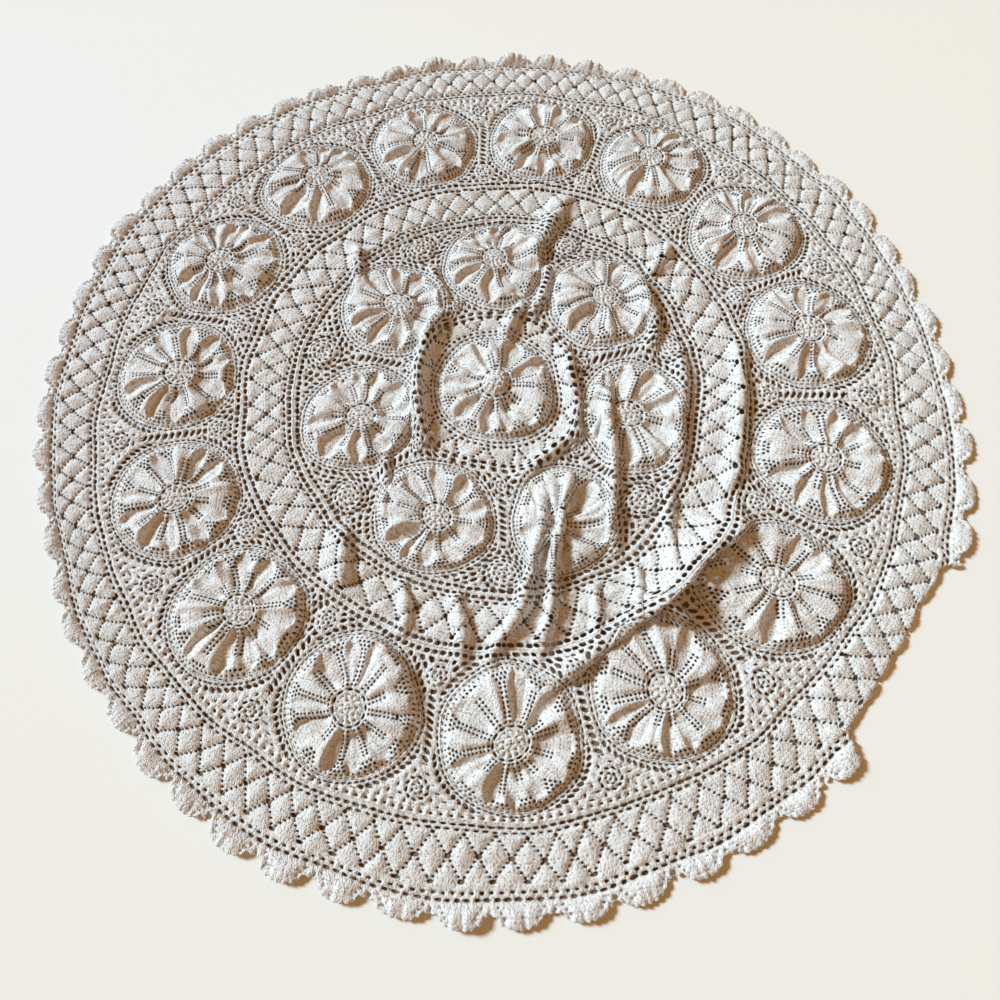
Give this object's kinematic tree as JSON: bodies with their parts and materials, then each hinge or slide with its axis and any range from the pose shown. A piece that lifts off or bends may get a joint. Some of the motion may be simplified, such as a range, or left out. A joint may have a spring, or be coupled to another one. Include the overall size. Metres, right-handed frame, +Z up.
{
  "type": "crochet tablecloth",
  "caption": "Round openwork crochet tablecloth of wheel motifs joined by mesh, with a lattice border and shell edging, lying rumpled on a flat surface.",
  "frame": {"origin": "middle of the bounding box, on the surface that the cloth lies on", "axes": "+Z up from the surface; +X to the right and +Y away from the viewer, who looks down along +Y; the large fold lies towards -Y"},
  "size_m": [1.5428, 1.5762, 0.0657],
  "materials": {
    "cotton_thread": "matte"
  },
  "bodies": {
    "root": {"centre_rosette": "cotton_thread", "inner_joining_net": "cotton_thread", "inner_rosette_1": "cotton_thread", "inner_rosette_2": "cotton_thread", "inner_rosette_3": "cotton_thread", "inner_rosette_4": "cotton_thread", "inner_rosette_5": "cotton_thread", "inner_rosette_6": "cotton_thread", "inner_rosette_7": "cotton_thread", "inner_lattice_band": "cotton_thread", "outer_joining_net": "cotton_thread", "outer_rosette_1": "cotton_thread", "outer_rosette_2": "cotton_thread", "outer_rosette_3": "cotton_thread", "outer_rosette_4": "cotton_thread", "outer_rosette_5": "cotton_thread", "outer_rosette_6": "cotton_thread", "outer_rosette_7": "cotton_thread", "outer_rosette_8": "cotton_thread", "outer_rosette_9": "cotton_thread", "outer_rosette_10": "cotton_thread", "outer_rosette_11": "cotton_thread", "outer_rosette_12": "cotton_thread", "outer_rosette_13": "cotton_thread", "outer_rosette_14": "cotton_thread", "outer_rosette_15": "cotton_thread", "outer_lattice_border": "cotton_thread"}
  },
  "joints": []
}
